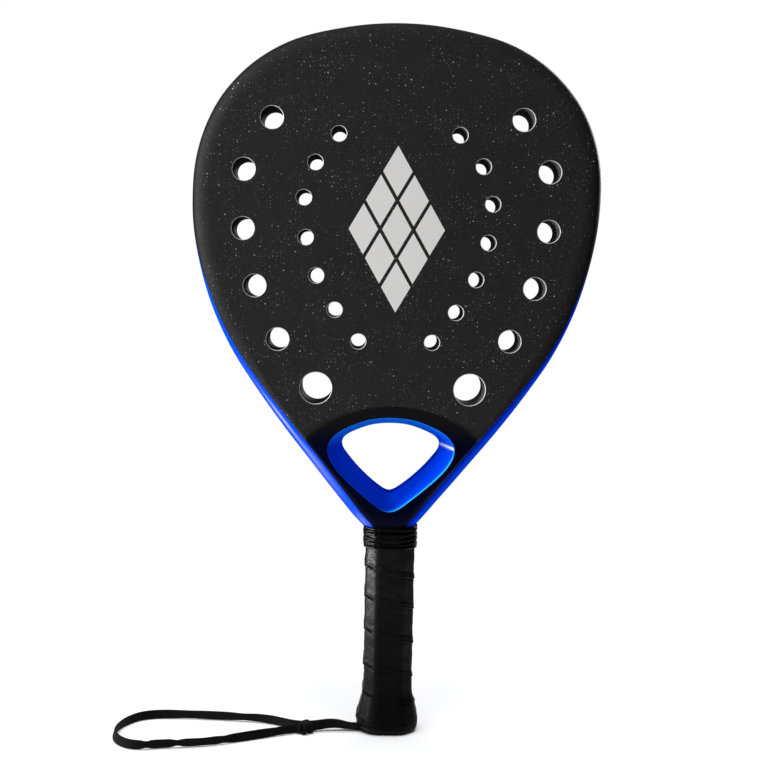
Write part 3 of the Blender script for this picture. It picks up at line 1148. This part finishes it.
# inner surface, following the flare, so that the tape has its thickness
IZ = np.array([ZHI, 90.0, 50.0, 36.0, 30.0, 27.0, 24.5, 22.0, 19.5, 17.0, 13.0, 9.0, ZLO])
NI = len(IZ)
inner = [skin(i, IZ, -1.6) for i in range(NC)]
verts = np.vstack([np.vstack(gv), np.vstack(inner)])
o_idx = lambda i, j: i * J + j
i_idx = lambda i, j: NC * J + i * NI + j
gf = []
for i in range(NC):
    n_i = (i + 1) % NC
    sh = MROW if i == NC - 1 else 0
    for j in range(J - 1):
        a, b = o_idx(i, j), o_idx(i, j + 1)
        c, d = o_idx(n_i, min(j + 1 + sh, J - 1)), o_idx(n_i, min(j + sh, J - 1))
        gf.append((a, b, c, d))
    gf.append((o_idx(i, J - 1), i_idx(i, NI - 1), i_idx(n_i, NI - 1), o_idx(n_i, J - 1)))
    for j in range(NI - 1):
        gf.append((i_idx(i, j + 1), i_idx(i, j), i_idx(n_i, j), i_idx(n_i, j + 1)))
    gf.append((i_idx(i, 0), o_idx(i, 0), o_idx(n_i, 0), i_idx(n_i, 0)))


def tidy(ob, dist=2e-6, sharp=None):
    """Merge coincident points, drop faces of no area and point every face outward."""
    bm = bmesh.new()
    bm.from_mesh(ob.data)
    bmesh.ops.remove_doubles(bm, verts=bm.verts, dist=dist)
    bmesh.ops.dissolve_degenerate(bm, edges=bm.edges, dist=dist)
    loose = [v for v in bm.verts if not v.link_faces]
    bmesh.ops.delete(bm, geom=loose, context="VERTS")
    bmesh.ops.recalc_face_normals(bm, faces=bm.faces)
    for f in bm.faces:
        f.smooth = True
    bm.to_mesh(ob.data)
    bm.free()
    ob.data.update()
    if sharp:
        ob.data.set_sharp_from_angle(angle=math.radians(sharp))


def carve(ob, cutters):
    """Cut closed solids out of a closed mesh and apply the result."""
    for v, f in cutters:
        me = bpy.data.meshes.new("cutter")
        me.from_pydata([tuple(q) for q in v], [], f)
        me.update()
        co = bpy.data.objects.new("cutter", me)
        scene.collection.objects.link(co)
        md = ob.modifiers.new("cut", "BOOLEAN")
        md.operation = "DIFFERENCE"
        md.solver = "EXACT"
        md.object = co
        dg = bpy.context.evaluated_depsgraph_get()
        new = bpy.data.meshes.new_from_object(ob.evaluated_get(dg))
        ob.modifiers.clear()
        old = ob.data
        ob.data = new
        bpy.data.meshes.remove(old)
        bpy.data.objects.remove(co)
        bpy.data.meshes.remove(me)


def box_cutter(x0, x1, y0, y1, z0, z1, r):
    """A slot with rounded long edges, running along X."""
    sec_ = []
    for cy_, cz_, a0 in ((y1 - r, z0, None), (y1 - r, z1 - r, 0), (y0 + r, z1 - r, 90), (y0 + r, z0, None)):
        if a0 is None:
            sec_.append((y1 if cy_ > (y0 + y1) / 2 else y0, z0))
        else:
            for t in np.linspace(0, 90, 7):
                aa = math.radians(a0 + t)
                sec_.append((cy_ + r * math.cos(aa), cz_ + r * math.sin(aa)))
    n_ = len(sec_)
    v = [(x0 * MM, y * MM, z * MM) for y, z in sec_] + [(x1 * MM, y * MM, z * MM) for y, z in sec_]
    f = [tuple(range(n_)), tuple(range(2 * n_ - 1, n_ - 1, -1))]
    f += [(i, n_ + i, n_ + (i + 1) % n_, (i + 1) % n_) for i in range(n_)]
    return v, f


def drum_cutter(cx, cy, r, z0, z1, n_=64):
    v = [(MM * (cx + r * math.cos(2 * math.pi * i / n_)), MM * (cy + r * math.sin(2 * math.pi * i / n_)), MM * z)
         for z in (z0, z1) for i in range(n_)]
    f = [tuple(range(n_)), tuple(range(2 * n_ - 1, n_ - 1, -1))]
    f += [(i, n_ + i, n_ + (i + 1) % n_, (i + 1) % n_) for i in range(n_)]
    return v, f


grip = new_mesh("overgrip_wrap", verts * MM, gf, mat=MAT["tape"])
tidy(grip)
carve(grip, [box_cutter(-30, -5, -9.2, -4.8, -1.0, 6.6, 1.6)])
tidy(grip, 1e-7, sharp=55)
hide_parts("overgrip")

# butt cap: foot, bevelled lip, step under the overgrip, sleeve up inside
cap_rows = []


def cap_row(z, out, at=None):
    """Row of the cap at height z from the handle's section at height `at`, set in by `out`."""
    at = z if at is None else at
    x = at / 0.5
    k0 = int(min(x, len(OZ) - 2))
    f = x - k0
    p = OCT[k0] * (1 - f) + OCT[k0 + 1] * f
    n_ = OCN[k0] * (1 - f) + OCN[k0 + 1] * f
    q = p + n_ * (-out)
    return np.stack([q[:, 0], q[:, 1], np.full(NC, z)], 1)


shrink = lambda row, k_: row * np.array([k_, k_, 1.0])
foot = cap_row(0.0, 3.9, 4.0)
for k_, z in ((0.10, 0.55), (0.55, 0.55), (0.60, 0.05), (0.66, 0.0), (0.80, 0.0), (0.94, 0.0)):
    r_ = shrink(foot, k_)
    r_[:, 2] = z
    cap_rows.append(r_)
for z, out in ((0.0, 3.9), (0.10, 3.3), (0.40, 2.7), (0.8, 2.2), (1.3, 1.75), (1.9, 1.38), (2.5, 1.10), (3.0, 0.95),
               (3.4, 0.95), (3.7, 1.1), (3.86, 1.3), (3.9, 1.9)):
    cap_rows.append(cap_row(z, out, 4.0))
for z in (5.5, 9.5, 14.0, 17.5, 20.0, 22.0, 23.8):
    cap_rows.append(cap_row(z, 1.72))
cap_rows.append(cap_row(23.9, 3.6))
for z in (20.0, 12.0, 9.0):
    cap_rows.append(cap_row(z, 3.7, 27.0))
n_rows = len(cap_rows)
cv = np.vstack(cap_rows + [np.array([[0, 0, 0.55]]), np.array([[0, 0, 9.0]])])
cf = grid_faces(n_rows, NC, closed_v=True)
c_low, c_high = n_rows * NC, n_rows * NC + 1
for j in range(NC):
    cf.append((c_low, (j + 1) % NC, j))
    cf.append((c_high, (n_rows - 1) * NC + j, (n_rows - 1) * NC + (j + 1) % NC))
cap = new_mesh("butt_cap_moulding", cv * MM, cf, mat=MAT["cap"])
tidy(cap)
carve(cap, [box_cutter(-30, -4.0, -9.2, -4.8, -1.0, 6.6, 1.6), drum_cutter(0, -7.0, 6.2, -1.0, 7.8)])
tidy(cap, 1e-7, sharp=38)
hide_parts("butt_cap")

# collar: six rubber strands round the joint of frame and grip, each lying a little askew
cvs, cfs, nb_ = [], [], 0
RT = 0.90
ring_spec = [(122.35, 0.35, 3.6, 0.02), (123.85, -0.75, 3.9, -0.10), (125.25, 0.80, 3.4, 0.06), (126.85, -0.70, 4.1, -0.04),
             (128.35, 0.85, 3.5, 0.08), (129.9, -0.65, 3.8, -0.06), (131.35, 0.75, 3.3, 0.04), (132.85, -0.80, 4.0, -0.02),
             (134.45, 0.40, 3.7, 0.05)]
oct_ring = round_octagon(16.5, 15.95, 7.55, 5.0)
nrm_ring = outlines_normals(oct_ring[None])[0]
for zc, tilt, ph_, dr in ring_spec:
    m_ = 16
    for i in range(NC):
        a = 2 * math.pi * UFR[i]
        zc_i = zc + tilt * math.cos(a - ph_) + 0.22 * math.sin(4 * a + ph_ * 5 + zc) + 0.10 * math.sin(9 * a + 2 * zc)
        zc_i = min(max(zc_i, 121.3 + RT), 135.7 - RT)
        for j in range(m_):
            b = 2 * math.pi * j / m_
            rr = RT * (1 + 0.06 * math.sin(5 * a + ph_ * 3))
            dr_ = dr + 0.16 * math.sin(3 * a + 4 * ph_) + 0.08 * math.sin(7 * a + zc)
            q = oct_ring[i] + nrm_ring[i] * (rr * math.cos(b) + dr_ - 0.05)
            cvs.append((q[0], q[1], zc_i + rr * math.sin(b) * 0.97))
    cfs += grid_faces(NC, m_, closed_u=True, closed_v=True, base=nb_)
    nb_ += NC * m_
# thin sleeve that the strands sit on
for k_, (z, d_) in enumerate(((121.35, -1.2), (121.5, -0.7), (123.0, -0.5), (128.0, -0.5), (134.0, -0.5),
                              (135.4, -0.7), (135.6, -1.2))):
    for i in range(NC):
        q = oct_ring[i] + nrm_ring[i] * d_
        cvs.append((q[0], q[1], z))
cfs += grid_faces(7, NC, closed_v=True, base=nb_)
collar = new_mesh("collar_strands", np.array(cvs) * MM, cfs, mat=MAT["collar"])
tidy(collar, 1e-7)
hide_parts("collar_band")

# ---------------------------------------------------------------- CAD nodes that stay
for node, mat in (("face_emblem", "film"), ("hoop_foam", "foam"), ("handle_shell_front", "shell"),
                  ("handle_shell_rear", "shell"), ("handle_filler", "foam"), ("base_grip", "cushion"),
                  ("finish_tape", "closing"), ("grip_staples", "steel"), ("anchor_knot", "knot")):
    ob = frame["nodes"][node]
    ob = bpy.data.objects[ob] if isinstance(ob, str) else ob
    if not ob.material_slots:
        ob.data.materials.append(MAT[mat])
    for s_ in ob.material_slots:
        s_.material = MAT[mat]

# ---------------------------------------------------------------- floor, surroundings and light
def floor_paint():
    """Pale studio floor: matt near the object, thinning out into the white of the surroundings."""
    mat, nt, bs = tree("pale_floor")
    n = N(nt)
    f = n.noise(3.0, 4.0, 0.5)
    n.set(bs, "Base Color", n.mix(f, (0.90, 0.90, 0.90), (0.93, 0.93, 0.93)))
    bs.inputs["Roughness"].default_value = 0.9
    bs.inputs["Specular IOR Level"].default_value = 0.05
    sep = n.node("ShaderNodeSeparateXYZ", in_Vector=n.obj())
    r2 = n.math("ADD", n.math("MULTIPLY", sep.outputs["X"], sep.outputs["X"]),
                n.math("MULTIPLY", sep.outputs["Y"], sep.outputs["Y"]))
    far = n.span(n.math("SQRT", r2), 0.18, 0.40)
    em = nt.nodes.new("ShaderNodeBsdfTransparent")
    mx = nt.nodes.new("ShaderNodeMixShader")
    out = [q for q in nt.nodes if q.type == "OUTPUT_MATERIAL"][0]
    nt.links.new(far, mx.inputs[0])
    nt.links.new(bs.outputs[0], mx.inputs[1])
    nt.links.new(em.outputs[0], mx.inputs[2])
    nt.links.new(mx.outputs[0], out.inputs[0])
    return mat


floor = new_mesh("floor", [(-9, -9, 0), (9, -9, 0), (9, 9, 0), (-9, 9, 0)], [(0, 1, 2, 3)], smooth=False,
                 mat=floor_paint(), body=None)

world = bpy.data.worlds.new("studio")
scene.world = world
world.use_nodes = True
wt = world.node_tree
wt.nodes.clear()
w_out = wt.nodes.new("ShaderNodeOutputWorld")
bg_light = wt.nodes.new("ShaderNodeBackground")
bg_seen = wt.nodes.new("ShaderNodeBackground")
bg_light.inputs[0].default_value = (1.0, 1.0, 1.0, 1.0)
bg_light.inputs[1].default_value = 0.06
bg_seen.inputs[0].default_value = (1.0, 1.0, 1.0, 1.0)
bg_seen.inputs[1].default_value = 1.0
lp = wt.nodes.new("ShaderNodeLightPath")
mixer = wt.nodes.new("ShaderNodeMixShader")
wt.links.new(lp.outputs["Is Camera Ray"], mixer.inputs[0])
wt.links.new(bg_light.outputs[0], mixer.inputs[1])
wt.links.new(bg_seen.outputs[0], mixer.inputs[2])
wt.links.new(mixer.outputs[0], w_out.inputs[0])


def area_light(name, loc, target, size, size_y, power, color=(1, 1, 1)):
    la = bpy.data.lights.new(name, "AREA")
    la.shape = "RECTANGLE"
    la.size, la.size_y = size, size_y
    la.energy = power
    la.color = color
    ob = bpy.data.objects.new(name, la)
    scene.collection.objects.link(ob)
    ob.location = loc
    ob.rotation_euler = (Vector(target) - Vector(loc)).to_track_quat("-Z", "Y").to_euler()
    return ob


# one lamp keeps the floor white; the others light only the object, each the pieces it is meant for
GRIP = ("overgrip_wrap", "collar_strands", "butt_cap_moulding")
BLUE_PIECES = ("frame_blue_flank", "throat_liner_visible")
groups = {q: bpy.data.collections.new("lit_" + q) for q in ("floor", "object", "grip", "body", "blue", "holes")}
for ob in scene.objects:
    if ob.type != "MESH":
        continue
    if ob == floor:
        groups["floor"].objects.link(ob)
        continue
    groups["object"].objects.link(ob)
    groups["grip" if ob.name in GRIP else "body"].objects.link(ob)
    if ob.name in BLUE_PIECES:
        groups["blue"].objects.link(ob)
    if ob == hole_walls:
        groups["holes"].objects.link(ob)
LAMPS = [("floor_light", (0.0, -0.1, 2.2), (0.0, 0.0, 0.0), 2.4, 2.4, 94.0, "floor"),
         ("grip_strip", (-0.44, -0.02, 0.085), (0.0, -0.01, 0.12), 0.14, 0.15, 3.0, "grip"),
         ("left_strip", (-0.78, -0.10, 0.36), (0.0, 0.0, 0.22), 0.16, 0.60, 8.5, "body"),
         ("left_soft", (-1.15, -0.80, 0.80), (0.0, 0.0, 0.25), 0.7, 0.8, 6.0, "body"),
         ("front_high", (-0.75, -1.6, 1.35), (0.0, 0.0, 0.25), 0.9, 0.9, 16.0, "object"),
         ("top_soft", (0.0, 0.1, 1.7), (0.0, 0.0, 0.3), 1.2, 1.2, 5.0, "object"),
         ("right_fill", (0.9, -0.35, 0.15), (0.05, 0.0, 0.2), 0.5, 0.5, 2.2, "blue"),
         ("hole_fill", (-0.85, -1.1, 0.06), (0.0, 0.0, 0.32), 0.4, 0.4, 30.0, "holes"),
         ("back_key", (1.0, 1.3, 0.9), (0.0, 0.0, 0.25), 0.9, 0.9, 14.0, "object")]
for name, loc, target, sx, sy, power, group in LAMPS:
    area_light(name, loc, target, sx, sy, power).light_linking.receiver_collection = groups[group]

vs_ = scene.view_settings
vs_.view_transform = "Standard"
vs_.look = "None"
vs_.exposure = 0.0
vs_.gamma = 1.0
